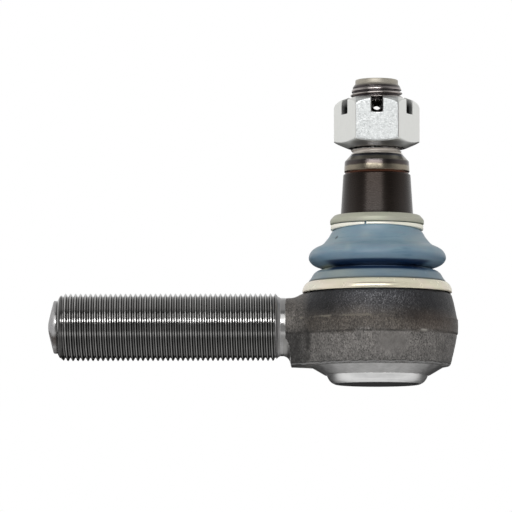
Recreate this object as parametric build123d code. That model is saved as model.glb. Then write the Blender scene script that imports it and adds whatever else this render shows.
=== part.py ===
from build123d import *
import math
import os

# Tie rod end. Millimetres. The origin is the ball's centre, +Z runs up the ball stud
# and the threaded shank runs out along -X.

# ---- driving dimensions ----
ball_r = 17.5
seat_clear = 0.07  # between the ball and both seats
bore_r = 21.0  # the socket's main bore
cap_bore_r = 25.0  # counterbore that takes the end cap's flange
cap_seat_z = -12.5

rod_major_r = 14.2875  # 1-1/8 in, 12 threads per inch
rod_pitch = 25.4 / 12
rod_minor_r = rod_major_r - 0.6134 * rod_pitch
rod_first_crest_x = -134.3
rod_crests = 44
rod_relief_r = 12.35
pilot_r = 11.2
nose_x = -139.4

stud_major_r = 11.1125  # 7/8 in, 14 threads per inch
stud_pitch = 25.4 / 14
stud_minor_r = stud_major_r - 0.6134 * stud_pitch
stud_top_z = 105.1
cone_top_z, cone_top_r = 64.5, 14.27
cone_bottom_z = 48.0
cone_taper = 1 / 8  # on diameter
neck_r = 10.0
cross_hole_r = 1.985
cross_hole_z = 93.2

nut_af = 31.75
nut_bottom_z, nut_top_z = 75.85, 97.3
nut_bore_clear = 0.06
slot_w, slot_floor_z = 4.76, 89.8

boot_wall = 2.0

band_r = cone_top_r + (cone_top_z - cone_bottom_z) * cone_taper / 2


def spin(points, axis=Axis.Z):
    """Turn a closed outline once round Z. Points are (radius, height)."""
    face = make_face(Plane.XZ * Polyline(*points, close=True))
    return revolve(face, axis, 360)


def spin_x(points):
    """Turn a closed outline once round X. Points are (x, radius)."""
    face = make_face(Plane.XZ * Polyline(*points, close=True))
    return revolve(face, Axis.X, 360)


def vee(start, pitch, crest_r, root_r, count):
    """Outline of a run of V ridges: (position, radius), crest flat to crest flat."""
    flat = pitch / 8
    run = (crest_r - root_r) * math.tan(math.radians(30))
    pts = []
    for i in range(count):
        a = start + i * pitch
        pts += [(a, crest_r), (a + flat, crest_r)]
        if i < count - 1:
            pts += [(a + flat + run, root_r), (a + pitch - run, root_r)]
    return pts


def offset_line(pts, d):
    """The same polyline moved sideways by d, to the left of its direction."""
    out = []
    n = len(pts)
    for i, (x, y) in enumerate(pts):
        nx = ny = 0.0
        for a, b in ((i - 1, i), (i, i + 1)):
            if a < 0 or b >= n:
                continue
            dx, dy = pts[b][0] - pts[a][0], pts[b][1] - pts[a][1]
            length = math.hypot(dx, dy)
            nx -= dy / length
            ny += dx / length
        length = math.hypot(nx, ny)
        out.append((x + d * nx / length, y + d * ny / length))
    return out


# ---- housing: socket head, neck and threaded shank in one forging ----
head = spin(
    [
        (0, 14.3),
        (30.7, 14.3),
        (31.2, 13.9),
        (31.71, 12.4),
        (32.56, 9.0),
        (33.3, 5.6),
        (33.7, 3.9),
        (34.1, 3.1),
        (34.17, 2.6),
        (34.13, -2.4),
        (33.8, -3.3),
        (33.03, -7.5),
        (32.09, -11.7),
        (31.5, -14.2),
        (30.99, -15.5),
        (30.3, -16.4),
        (29.5, -16.7),
        (28.5, -16.7),
        (22.0, -20.5),
        (21.75, -20.4),
        (0, -20.4),
    ]
)


def neck_section(x, half, top, foot, floor):
    """A U standing on its feet: round on top, straight drafted sides, flat floor."""
    knee = 2.2
    slope = (half - foot) / (0 - floor)
    outline = (
        ThreePointArc((half, 0), (0, top), (-half, 0))
        + Line((-half, 0), (-foot - knee * slope, floor + knee))
        + ThreePointArc(
            (-foot - knee * slope, floor + knee),
            (-foot + 0.55, floor + 0.62),
            (-foot + knee, floor),
        )
        + Line((-foot + knee, floor), (foot - knee, floor))
        + ThreePointArc(
            (foot - knee, floor),
            (foot - 0.55, floor + 0.62),
            (foot + knee * slope, floor + knee),
        )
        + Line((foot + knee * slope, floor + knee), (half, 0))
    )
    return Plane(origin=(x, 0, 0), x_dir=(0, 1, 0), z_dir=(1, 0, 0)) * make_face(
        outline
    )


neck = loft(
    [
        neck_section(-40.0, 12.15, 12.15, 9.6, -16.7),
        neck_section(-34.5, 12.9, 12.3, 10.6, -16.7),
        neck_section(-29.0, 17.6, 14.25, 15.2, -16.7),
        neck_section(-20.0, 20.5, 14.25, 17.5, -16.7),
    ],
    ruled=True,
)
# the turning tool's sweep at the end of the shank: a concave shoulder on the forging
sweep_face = make_face(
    Plane.XZ
    * (
        Line((-46, rod_relief_r), (-40.2, rod_relief_r))
        + ThreePointArc((-40.2, rod_relief_r), (-37.75, 13.35), (-36.5, 16.9))
        + Line((-36.5, 16.9), (-36.5, 30))
        + Line((-36.5, 30), (-46, 30))
        + Line((-46, 30), (-46, rod_relief_r))
    )
)
neck -= revolve(sweep_face, Axis.X, 360)

rod_ridges = vee(
    rod_first_crest_x + rod_pitch, rod_pitch, rod_major_r, rod_minor_r, rod_crests - 1
)
last_x = rod_ridges[-1][0]
first_root_x = rod_ridges[0][0] - (rod_major_r - rod_minor_r) * math.tan(
    math.radians(30)
)
shank = spin_x(
    [(nose_x, 0), (nose_x + 0.1, 1.9), (-136.9, pilot_r), (-135.1, pilot_r)]
    # the first turn is cut down by the lead-in chamfer
    + [(-134.5, 12.6), (-134.0, 13.5), (-133.75, 13.5)]
    + [(first_root_x - 0.35, rod_minor_r), (first_root_x, rod_minor_r)]
    + rod_ridges
    + [
        (
            last_x + (rod_major_r - rod_relief_r) * math.tan(math.radians(30)),
            rod_relief_r,
        ),
        (-39.0, rod_relief_r),
        (-39.0, 0),
    ]
)
core = Plane.YZ.offset(-39.5) * Cylinder(
    12.1, 12, align=(Align.CENTER, Align.CENTER, Align.MIN)
)
lip_slope = 3.7 / 6.2
cavity = spin(
    [
        (0, -21),
        (21.75, -21),
        (21.75, -18.63),
        (cap_bore_r, -18.63 + (cap_bore_r - 21.75) * lip_slope),
        (cap_bore_r, cap_seat_z),
        (bore_r, cap_seat_z),
        (bore_r, 3.5),
        (16.8, 9.9),
        (18.8, 19.5),
        (0, 19.5),
    ]
)
boss = spin([(0, 14.0), (23.5, 14.0), (23.5, 18.7), (23.2, 19.0), (0, 19.0)])
housing = head + boss + neck + shank + core - cavity

# ---- ball stud ----
neck_z = math.sqrt(ball_r**2 - neck_r**2)
flat_r = 5.6
flat_z = -math.sqrt(ball_r**2 - flat_r**2)
shoulder_z = 73.2
ridge_start = 74.0
stud_count = 14
stud_ridges = vee(ridge_start, stud_pitch, stud_major_r, stud_minor_r, stud_count)
z_end = stud_ridges[-1][0]
lower = (
    Line((0, flat_z), (flat_r, flat_z))
    + ThreePointArc((flat_r, flat_z), (ball_r, 0), (neck_r, neck_z))
    + Line((neck_r, neck_z), (neck_r, 21.5))
    + ThreePointArc((neck_r, 21.5), (10.6, 25.2), (12.0, 28.6))
    + Line((12.0, 28.6), (band_r, 37.5))
    + Line((band_r, 37.5), (band_r, cone_bottom_z))
    + Line((band_r, cone_bottom_z), (cone_top_r, cone_top_z))
    + Line((cone_top_r, cone_top_z), (13.45, 65.0))
    + Line((13.45, 65.0), (13.45, 65.5))
    + Line((13.45, 65.5), (13.75, 65.8))
    + Line((13.75, 65.8), (13.75, 70.3))
    + Line((13.75, 70.3), (10.95, shoulder_z))
    + Line((10.95, shoulder_z), (10.95, ridge_start - 0.15))
    + Line((10.95, ridge_start - 0.15), (0, ridge_start - 0.15))
    + Line((0, ridge_start - 0.15), (0, flat_z))
)
stud = revolve(make_face(Plane.XZ * lower), Axis.Z, 360)
run30 = math.tan(math.radians(30))
upper = (
    [(0, ridge_start - 0.15), (10.95, ridge_start - 0.15)]
    + [(r, z) for z, r in stud_ridges]
    + [(stud_minor_r, z_end + (stud_major_r - stud_minor_r) * run30)]
    # two turns cut down by the end chamfer, then the plain end
    + [(stud_minor_r, z_end + 1.1), (10.55, z_end + 1.45), (10.55, z_end + 1.8)]
    + [(9.7, z_end + 2.3), (9.7, z_end + 2.7)]
    + [(9.95, z_end + 3.1), (9.95, z_end + 3.4), (9.06, z_end + 4.4)]
    + [(9.06, stud_top_z - 0.35), (8.7, stud_top_z), (0, stud_top_z)]
)
stud += spin(upper)
stud -= Pos(0, 0, cross_hole_z) * Rot(90, 0, 0) * Cylinder(cross_hole_r, 30)

# ---- upper seat: held between the socket's shoulder and the ball ----
seat_r = ball_r + seat_clear
seat_top, seat_foot = 9.3, 1.0
shoulder = (bore_r - 16.8) / (9.9 - 3.5)
upper_seat_line = (
    Line((math.sqrt(seat_r**2 - seat_foot**2), seat_foot), (bore_r, seat_foot))
    + Line((bore_r, seat_foot), (bore_r, 3.5))
    + Line((bore_r, 3.5), (bore_r - (seat_top - 3.5) * shoulder, seat_top))
    + Line(
        (bore_r - (seat_top - 3.5) * shoulder, seat_top),
        (math.sqrt(seat_r**2 - seat_top**2), seat_top),
    )
    + ThreePointArc(
        (math.sqrt(seat_r**2 - seat_top**2), seat_top),
        (math.sqrt(seat_r**2 - 5.2**2), 5.2),
        (math.sqrt(seat_r**2 - seat_foot**2), seat_foot),
    )
)
upper_seat = revolve(make_face(Plane.XZ * upper_seat_line), Axis.Z, 360)

# ---- lower seat: a cup that the disc spring presses against the ball ----
cup_r = bore_r - 0.07
cup_top, cup_foot, hole_r = -0.5, -19.1, 6.0
cup_line = (
    Line((math.sqrt(seat_r**2 - cup_top**2), cup_top), (cup_r, cup_top))
    + Line((cup_r, cup_top), (cup_r, -9.5))
    + Line((cup_r, -9.5), (17.2, -13.2))
    + Line((17.2, -13.2), (17.2, cup_foot + 0.6))
    + Line((17.2, cup_foot + 0.6), (16.6, cup_foot))
    + Line((16.6, cup_foot), (hole_r, cup_foot))
    + Line((hole_r, cup_foot), (hole_r, -math.sqrt(seat_r**2 - hole_r**2)))
    + ThreePointArc(
        (hole_r, -math.sqrt(seat_r**2 - hole_r**2)),
        (math.sqrt(seat_r**2 - 10.0**2), -10.0),
        (math.sqrt(seat_r**2 - cup_top**2), cup_top),
    )
)
lower_seat = revolve(make_face(Plane.XZ * cup_line), Axis.Z, 360)

# ---- disc spring between the cup and the cap ----
spring = spin([(15.0, -22.1), (15.0, -20.9), (7.0, -19.4), (7.0, -20.6)])

# ---- end cap: pressed dish with a flange under the rolled lip ----
cap = spin(
    [
        (0, -24.5),
        (16.8, -24.5),
        (17.8, -24.38),
        (18.63, -24.0),
        (19.82, -23.2),
        (20.7, -21.9),
        (21.38, -20.6),
        (21.6, -19.6),
        (21.66, -18.6),
        (24.93, -18.6 + (24.93 - 21.66) * lip_slope),
        (24.93, -15.0),
        (22.45, cap_seat_z),
        (19.0, cap_seat_z),
        (19.0, -18.4),
        (18.5, -20.0),
        (17.6, -21.3),
        (16.0, -22.1),
        (0, -22.1),
    ]
)
o_ring = revolve(
    Plane.XZ * (Pos(24.26, -13.24) * Circle(0.70)),
    Axis.Z,
    360,
)

# ---- dust boot: rubber shell with one fold, open for the stud and over the boss ----
boot_outer = [
    (19.1, 40.7),
    (19.7, 39.3),
    (20.4, 38.0),
    (21.2, 37.0),
    (21.9, 36.1),
    (22.7, 35.2),
    (23.9, 34.4),
    (25.7, 33.6),
    (27.2, 32.7),
    (28.1, 31.8),
    (28.7, 30.8),
    (29.05, 29.6),
    (29.0, 28.6),
    (28.5, 27.6),
    (27.7, 26.7),
    (26.5, 25.9),
    (24.8, 25.2),
    (23.2, 24.75),
    (22.2, 24.5),
    (23.3, 24.2),
    (24.4, 23.85),
    (25.7, 23.2),
    (26.8, 22.4),
    (27.5, 21.5),
    (27.9, 20.7),
    (28.5, 19.9),
    (28.95, 19.3),
]
boot_inner = offset_line(boot_outer, -boot_wall)
boot = spin(
    [(band_r + 0.12, 45.9), (18.5, 45.9), (18.5, 43.3), (18.2, 43.1), (18.2, 40.7)]
    + boot_outer
    + [(29.0, 19.0), (28.7, 18.85), (27.3, 18.85), (27.3, 14.6), (23.8, 14.6), (23.8, 19.4), (24.6, 20.4)]
    + [p for p in reversed(boot_inner) if 20.9 < p[1] < 39.0 and p[0] > 17.0]
    + [(17.4, 39.0), (band_r + 0.12, 39.8)]
)

# ---- metal rings on the boot ----
upper_collar = spin(
    [
        (band_r + 0.06, 46.1),
        (band_r + 0.06, 47.25),
        (17.8, 47.25),
        (18.7, 47.0),
        (19.35, 46.45),
        (19.75, 45.7),
        (19.9, 44.9),
        (19.9, 43.7),
        (19.6, 43.4),
        (18.7, 43.4),
        (18.7, 46.1),
    ]
)
upper_clip = spin(
    [
        (18.4, 40.9),
        (18.4, 43.05),
        (19.3, 43.05),
        (19.6, 42.7),
        (19.65, 42.0),
        (19.6, 41.2),
        (19.3, 40.9),
    ]
)
upper_clip -= Pos(-5.1, -19.0, 42.0) * Rot(0, 0, -15) * Box(0.9, 4.0, 6.0)
lower_ring = spin(
    [
        (27.4, 18.4),
        (27.4, 18.65),
        (27.6, 18.78),
        (29.4, 18.78),
        (29.8, 18.6),
        (30.5, 17.9),
        (31.1, 17.1),
        (31.5, 16.2),
        (31.7, 15.4),
        (31.7, 14.7),
        (31.5, 14.35),
        (30.6, 14.35),
        (30.5, 15.8),
        (29.9, 16.7),
        (28.9, 17.5),
        (28.0, 17.95),
        (27.4, 18.1),
    ]
)

# ---- castle nut ----
corner_r = nut_af / math.sqrt(3)
nut = extrude(
    Plane.XY.offset(nut_bottom_z) * RegularPolygon(corner_r, 6),
    nut_top_z - nut_bottom_z,
)
nut &= spin(
    [
        (0, nut_bottom_z),
        (12.2, nut_bottom_z),
        (corner_r + 0.2, nut_bottom_z + 2.75),
        (corner_r + 0.2, nut_top_z - 4.4),
        (17.5, nut_top_z - 2.6),
        (16.0, nut_top_z - 1.5),
        (12.0, nut_top_z),
        (0, nut_top_z),
    ]
)
nut -= Pos(0, 0, (nut_bottom_z + nut_top_z) / 2) * Cylinder(
    stud_major_r + nut_bore_clear, 40
)
slot_outline = Plane.XZ * (
    Pos(0, slot_floor_z + 6) * RectangleRounded(slot_w, 12.0, 0.8)
)
for turn in (0, 60, 120):
    slot = extrude(slot_outline, 25, both=True)
    nut -= Rot(0, 0, turn) * slot

parts = {
    "housing": housing,
    "ball_stud": stud,
    "upper_ball_seat": upper_seat,
    "lower_ball_seat": lower_seat,
    "preload_spring": spring,
    "end_cap": cap,
    "cap_o_ring": o_ring,
    "boot": boot,
    "boot_upper_collar": upper_collar,
    "boot_upper_clip": upper_clip,
    "boot_lower_ring": lower_ring,
    "castle_nut": nut,
}

os.makedirs("parts", exist_ok=True)
for name, shape in parts.items():
    export_step(shape, f"parts/{name}.step")
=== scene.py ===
import math

import bmesh
import bpy
import numpy as np
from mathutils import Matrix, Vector


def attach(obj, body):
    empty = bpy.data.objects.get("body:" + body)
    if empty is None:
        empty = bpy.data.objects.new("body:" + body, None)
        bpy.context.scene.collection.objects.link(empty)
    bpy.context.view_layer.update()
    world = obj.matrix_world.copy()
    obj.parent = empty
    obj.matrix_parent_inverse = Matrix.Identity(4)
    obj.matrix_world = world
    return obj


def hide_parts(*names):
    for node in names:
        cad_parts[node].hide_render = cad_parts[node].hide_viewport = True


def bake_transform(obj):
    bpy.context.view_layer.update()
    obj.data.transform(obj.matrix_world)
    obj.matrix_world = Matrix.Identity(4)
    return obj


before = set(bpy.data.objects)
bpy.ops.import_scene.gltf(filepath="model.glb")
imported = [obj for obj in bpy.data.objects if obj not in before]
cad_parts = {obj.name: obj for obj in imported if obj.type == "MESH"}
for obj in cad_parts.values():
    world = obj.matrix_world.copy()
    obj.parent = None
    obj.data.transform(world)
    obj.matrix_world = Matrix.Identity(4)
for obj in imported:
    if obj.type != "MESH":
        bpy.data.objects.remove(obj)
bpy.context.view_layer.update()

MM = 0.001
TAU = 2 * math.pi


# ------------------------------------------------------------------ mesh helpers
def make(name, verts_mm, faces, sharp=None, flip=False):
    """A mesh object from millimetre vertices, smooth shaded, with sharp edges past an angle."""
    if flip:
        faces = [tuple(reversed(f)) for f in faces]
    me = bpy.data.meshes.new(name)
    me.from_pydata((np.asarray(verts_mm, float) * MM).tolist(), [], list(faces))
    me.validate(clean_customdata=False)
    me.update()
    for p in me.polygons:
        p.use_smooth = True
    if sharp is not None:
        me.set_sharp_from_angle(angle=math.radians(sharp))
    ob = bpy.data.objects.new(name, me)
    bpy.context.scene.collection.objects.link(ob)
    return ob


def outward(ob):
    """Turn the faces so that they look outwards, and merge what coincides."""
    bm = bmesh.new()
    bm.from_mesh(ob.data)
    bmesh.ops.remove_doubles(bm, verts=bm.verts, dist=2e-7)
    bmesh.ops.dissolve_degenerate(bm, edges=bm.edges, dist=1e-8)
    bmesh.ops.recalc_face_normals(bm, faces=bm.faces)
    bm.to_mesh(ob.data)
    bm.free()
    return ob


def attribute(ob, name, values):
    a = ob.data.attributes.new(name, "FLOAT", "POINT")
    a.data.foreach_set("value", np.asarray(values, np.float32))


def keep_rest(ob):
    """Each vertex keeps its rest position, in millimetres, for materials on a piece that bends."""
    n = len(ob.data.vertices)
    co = np.zeros(n * 3, np.float32)
    ob.data.vertices.foreach_get("co", co)
    a = ob.data.attributes.new("rest", "FLOAT_VECTOR", "POINT")
    a.data.foreach_set("vector", co)


def catmull(points, steps, closed=False):
    """A smooth line through the points."""
    pts = np.asarray(points, float)
    n = len(pts)
    out = []
    spans = n if closed else n - 1
    for i in range(spans):
        if closed:
            p0, p1, p2, p3 = (pts[(i + k) % n] for k in (-1, 0, 1, 2))
        else:
            p1, p2 = pts[i], pts[i + 1]
            p0 = pts[i - 1] if i else 2 * p1 - p2
            p3 = pts[i + 2] if i + 2 < n else 2 * p2 - p1
        # centripetal spacing keeps the line from overshooting
        t0 = 0.0
        t1 = t0 + max(np.linalg.norm(p1 - p0), 1e-6) ** 0.5
        t2 = t1 + max(np.linalg.norm(p2 - p1), 1e-6) ** 0.5
        t3 = t2 + max(np.linalg.norm(p3 - p2), 1e-6) ** 0.5
        for s in range(steps):
            t = t1 + (t2 - t1) * s / steps
            a1 = (t1 - t) / (t1 - t0) * p0 + (t - t0) / (t1 - t0) * p1
            a2 = (t2 - t) / (t2 - t1) * p1 + (t - t1) / (t2 - t1) * p2
            a3 = (t3 - t) / (t3 - t2) * p2 + (t - t2) / (t3 - t2) * p3
            b1 = (t2 - t) / (t2 - t0) * a1 + (t - t0) / (t2 - t0) * a2
            b2 = (t3 - t) / (t3 - t1) * a2 + (t - t1) / (t3 - t1) * a3
            out.append((t2 - t) / (t2 - t1) * b1 + (t - t1) / (t2 - t1) * b2)
    if not closed:
        out.append(pts[-1])
    return np.array(out)


def rounded(points, radii, steps=4):
    """A closed outline with its corners rounded. points are (r, z), radii one per corner or one for all."""
    n = len(points)
    if not hasattr(radii, "__len__"):
        radii = [radii] * n
    pts = [np.array(p, float) for p in points]
    out = []
    for i in range(n):
        p, a, b = pts[i], pts[i - 1], pts[(i + 1) % n]
        r = radii[i]
        u, v = a - p, b - p
        lu, lv = np.linalg.norm(u), np.linalg.norm(v)
        u, v = u / lu, v / lv
        ang = math.acos(max(-1, min(1, float(u @ v))))
        if r <= 0 or ang > math.radians(176):
            out.append(p)
            continue
        d = min(r / math.tan(ang / 2), 0.45 * lu, 0.45 * lv)
        s, e = p + u * d, p + v * d
        for k in range(steps + 1):
            t = k / steps
            out.append((1 - t) ** 2 * s + 2 * t * (1 - t) * p + t**2 * e)
    return np.array(out)


def lathe(name, outline, segs=160, sharp=32, bend=None, front=None):
    """Turn a closed (r, z) outline round Z. A point with r = 0 becomes one vertex.
    front is a second outline the first goes over to on the -Y side."""
    outline = np.asarray(outline, float)
    front = outline if front is None else np.asarray(front, float)
    verts, rows = [], []
    for (r, z), (fr, fz) in zip(outline, front):
        if r < 1e-6:
            rows.append([len(verts)] * segs)
            verts.append((0.0, 0.0, z))
        else:
            rows.append(list(range(len(verts), len(verts) + segs)))
            for j in range(segs):
                t = TAU * j / segs
                f = max(0.0, -math.sin(t)) ** 2
                rr, zz = r + f * (fr - r), z + f * (fz - z)
                if bend is not None:
                    rr, zz = bend(rr, zz, t)
                verts.append((rr * math.cos(t), rr * math.sin(t), zz))
    faces = []
    n = len(rows)
    for i in range(n):
        a, b = rows[i], rows[(i + 1) % n]
        if a[0] == a[1] and b[0] == b[1]:
            continue
        for j in range(segs):
            k = (j + 1) % segs
            f = []
            for v in (a[j], a[k], b[k], b[j]):
                if v not in f:
                    f.append(v)
            if len(f) > 2:
                faces.append(tuple(f))
    ob = make(name, verts, faces)
    outward(ob)
    ob.data.set_sharp_from_angle(angle=math.radians(sharp))
    return ob


# ------------------------------------------------------------------ noise, for shape
_rng = np.random.RandomState(7)
_table = _rng.rand(64, 64, 64).astype(np.float32)


def noise3(p, scale):
    """Smooth value noise in -1..1. p is (n, 3) in mm, scale the size of a blob in mm."""
    q = np.asarray(p, np.float64) / scale + 1000.0
    i = np.floor(q).astype(np.int64)
    f = q - i
    f = f * f * (3 - 2 * f)
    out = 0.0
    for dx in (0, 1):
        for dy in (0, 1):
            for dz in (0, 1):
                w = (
                    (f[:, 0] if dx else 1 - f[:, 0])
                    * (f[:, 1] if dy else 1 - f[:, 1])
                    * (f[:, 2] if dz else 1 - f[:, 2])
                )
                v = _table[
                    (i[:, 0] + dx) % 64, (i[:, 1] + dy) % 64, (i[:, 2] + dz) % 64
                ]
                out = out + w * v
    return out * 2 - 1


# ------------------------------------------------------------------ solids as distance fields
def smooth_min(a, b, k):
    h = np.clip(0.5 + 0.5 * (b - a) / k, 0, 1)
    return b + (a - b) * h - k * h * (1 - h)


def smooth_max(a, b, k):
    return -smooth_min(-a, -b, k)


def step(x, a, b):
    t = np.clip((x - a) / (b - a), 0, 1)
    return t * t * (3 - 2 * t)


def polygon_distance(x, y, poly):
    """Signed distance to a closed polygon, negative inside."""
    poly = np.asarray(poly, np.float32)
    best = np.full(x.shape, 1e9, np.float32)
    inside = np.zeros(x.shape, bool)
    n = len(poly)
    for i in range(n):
        ax, ay = poly[i - 1]
        bx, by = poly[i]
        ex, ey = bx - ax, by - ay
        px, py = x - ax, y - ay
        t = np.clip((px * ex + py * ey) / (ex * ex + ey * ey), 0, 1)
        dx, dy = px - t * ex, py - t * ey
        best = np.minimum(best, dx * dx + dy * dy)
        if ey != 0:
            crosses = ((ay <= y) & (y < by)) | ((by <= y) & (y < ay))
            inside ^= crosses & (x < ax + (y - ay) * ex / ey)
    d = np.sqrt(best)
    return np.where(inside, -d, d)


def skin(name, field, lo, hi, h, settle=3, sharp=None):
    """The surface where field is 0, as quads: one vertex per crossed cell, then settled onto the field."""
    ax = [np.arange(lo[k], hi[k] + h, h, dtype=np.float32) for k in range(3)]
    nx, ny, nz = (len(a) for a in ax)
    grid = np.empty((nx, ny, nz), np.float32)
    yy, zz = np.meshgrid(ax[1], ax[2], indexing="ij")
    for i in range(0, nx, 8):
        xs = ax[0][i : i + 8]
        x = np.broadcast_to(xs[:, None, None], (len(xs), ny, nz))
        y = np.broadcast_to(yy[None], x.shape)
        z = np.broadcast_to(zz[None], x.shape)
        grid[i : i + 8] = field(x, y, z)
    ins = grid < 0
    cells = (nx - 1, ny - 1, nz - 1)
    total = np.zeros((cells[0] * cells[1] * cells[2], 3))
    count = np.zeros(cells[0] * cells[1] * cells[2], np.int32)
    quads = []
    for k in range(3):
        a = [slice(None)] * 3
        b = [slice(None)] * 3
        a[k], b[k] = slice(0, -1), slice(1, None)
        idx = np.argwhere(ins[tuple(a)] != ins[tuple(b)])
        va = grid[tuple(idx.T)]
        nxt = idx.copy()
        nxt[:, k] += 1
        vb = grid[tuple(nxt.T)]
        t = va / (va - vb)
        pos = np.array([ax[m][idx[:, m]] for m in range(3)], float).T
        pos[:, k] += t * h
        u, v = (k + 1) % 3, (k + 2) % 3
        ids = []
        ok = np.ones(len(idx), bool)
        for du, dv in ((0, 0), (-1, 0), (-1, -1), (0, -1)):
            c = idx.copy()
            c[:, u] += du
            c[:, v] += dv
            ok &= np.all((c >= 0) & (c < np.array(cells)), axis=1)
            ids.append(c)
        flat = []
        for c in ids:
            f = (c[:, 0] * cells[1] + c[:, 1]) * cells[2] + c[:, 2]
            f = np.where(ok, f, 0)
            flat.append(f)
            np.add.at(total, f[ok], pos[ok])
            np.add.at(count, f[ok], 1)
        q = np.array(flat).T[ok]
        swap = (va < 0)[ok]
        q[~swap] = q[~swap][:, ::-1]
        quads.append(q)
    quads = np.vstack(quads)
    used = np.flatnonzero(count)
    number = np.full(len(count), -1, np.int64)
    number[used] = np.arange(len(used))
    verts = total[used] / count[used][:, None]
    faces = number[quads]
    e = h * 0.05
    for _ in range(settle):
        x, y, z = (verts[:, i] for i in range(3))
        f0 = field(x, y, z)
        g = np.stack(
            [
                (field(x + e, y, z) - field(x - e, y, z)),
                (field(x, y + e, z) - field(x, y - e, z)),
                (field(x, y, z + e) - field(x, y, z - e)),
            ],
            axis=1,
        ) / (2 * e)
        move = g * (f0 / np.maximum((g * g).sum(1), 0.2))[:, None]
        size = np.linalg.norm(move, axis=1)
        cap = np.minimum(1, 0.5 * h / np.maximum(size, 1e-9))
        verts = verts - move * cap[:, None]
    ob = make(name, verts, faces.tolist())
    if sharp is not None:
        ob.data.set_sharp_from_angle(angle=math.radians(sharp))
    return ob, verts


# ------------------------------------------------------------------ threads
def turned(name, start, thread, end, segs=144, along="x", sharp=38):
    """One turned piece: plain rings, a helical thread, plain rings, closed at both ends.
    start and end are lists of (position, radius). thread has first, last, pitch, one pitch of (s, r), and a limit(position) radius."""
    rows, verts = [], []

    def ring(x, r):
        row = []
        if r < 1e-6:
            row = [len(verts)] * segs
            verts.append((x, 0.0, 0.0))
        else:
            for j in range(segs):
                t = TAU * j / segs
                row.append(len(verts))
                verts.append((x, r * math.cos(t), r * math.sin(t)))
        return row

    faces = []

    def band(a, b):
        for j in range(segs):
            k = (j + 1) % segs
            f = []
            for v in (a[j], a[k], b[k], b[j]):
                if v not in f:
                    f.append(v)
            if len(f) > 2:
                faces.append(tuple(f))

    first, last, pitch = thread["first"], thread["last"], thread["pitch"]
    shape, limit = thread["shape"], thread["limit"]
    m = len(shape)
    prev = None
    for x, r in start:
        row = ring(x, r)
        if prev is not None:
            band(prev, row)
        prev = row
    lead = ring(first, limit(first))
    band(prev, lead)
    tail = ring(last, limit(last))
    # helical rows: row i at the angle j sits pitch * j / segs further along
    turns = int((last - first) / pitch) + 2
    grid = {}
    lo_row, hi_row = -m, (turns + 1) * m

    def vid(i, j):
        if j == segs:
            i, j = i + m, 0
        key = (i, j)
        if key in grid:
            return grid[key]
        s, r = shape[i % m]
        x = thread["phase"] + (i // m) * pitch + s + pitch * j / segs
        if x <= first + 1e-6:
            grid[key] = lead[j]
        elif x >= last - 1e-6:
            grid[key] = tail[j]
        else:
            t = TAU * j / segs
            rr = min(r, limit(x))
            grid[key] = len(verts)
            verts.append((x, rr * math.cos(t), rr * math.sin(t)))
        return grid[key]

    for i in range(lo_row, hi_row):
        for j in range(segs):
            quad = (vid(i, j), vid(i, j + 1), vid(i + 1, j + 1), vid(i + 1, j))
            f = []
            for v in quad:
                if v not in f:
                    f.append(v)
            if len(f) > 2:
                faces.append(tuple(f))
    prev = tail
    for x, r in end:
        row = ring(x, r)
        band(prev, row)
        prev = row
    verts = np.array(verts)
    if along == "z":
        verts = verts[:, [1, 2, 0]]
    # drop vertices no face uses
    used = np.unique([v for f in faces for v in f])
    number = {int(v): i for i, v in enumerate(used)}
    faces = [tuple(number[v] for v in f) for f in faces]
    ob = make(name, verts[used], faces)
    outward(ob)
    ob.data.set_sharp_from_angle(angle=math.radians(sharp))
    return ob


def vee_shape(pitch, crest, root):
    """One pitch of a rounded V thread, from the middle of one crest."""
    flat = pitch / 16
    soft = 0.05
    half = pitch / 2
    rf = pitch * 0.075
    return [
        (0.0, crest),
        (flat * 0.7, crest - 0.004),
        (flat * 1.25, crest - soft),
        (half / 2, (crest + root) / 2),
        (half - rf * 1.6, root + soft * 1.3),
        (half - rf * 0.7, root + 0.008),
        (half, root),
        (half + rf * 0.7, root + 0.008),
        (half + rf * 1.6, root + soft * 1.3),
        (half * 1.5, (crest + root) / 2),
        (pitch - flat * 1.25, crest - soft),
        (pitch - flat * 0.7, crest - 0.004),
    ]


# ------------------------------------------------------------------ materials
def new_material(name):
    mat = bpy.data.materials.new(name)
    mat.use_nodes = True
    nt = mat.node_tree
    nt.nodes.clear()
    out = nt.nodes.new("ShaderNodeOutputMaterial")
    bsdf = nt.nodes.new("ShaderNodeBsdfPrincipled")
    nt.links.new(bsdf.outputs["BSDF"], out.inputs["Surface"])
    return mat, nt, bsdf


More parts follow.
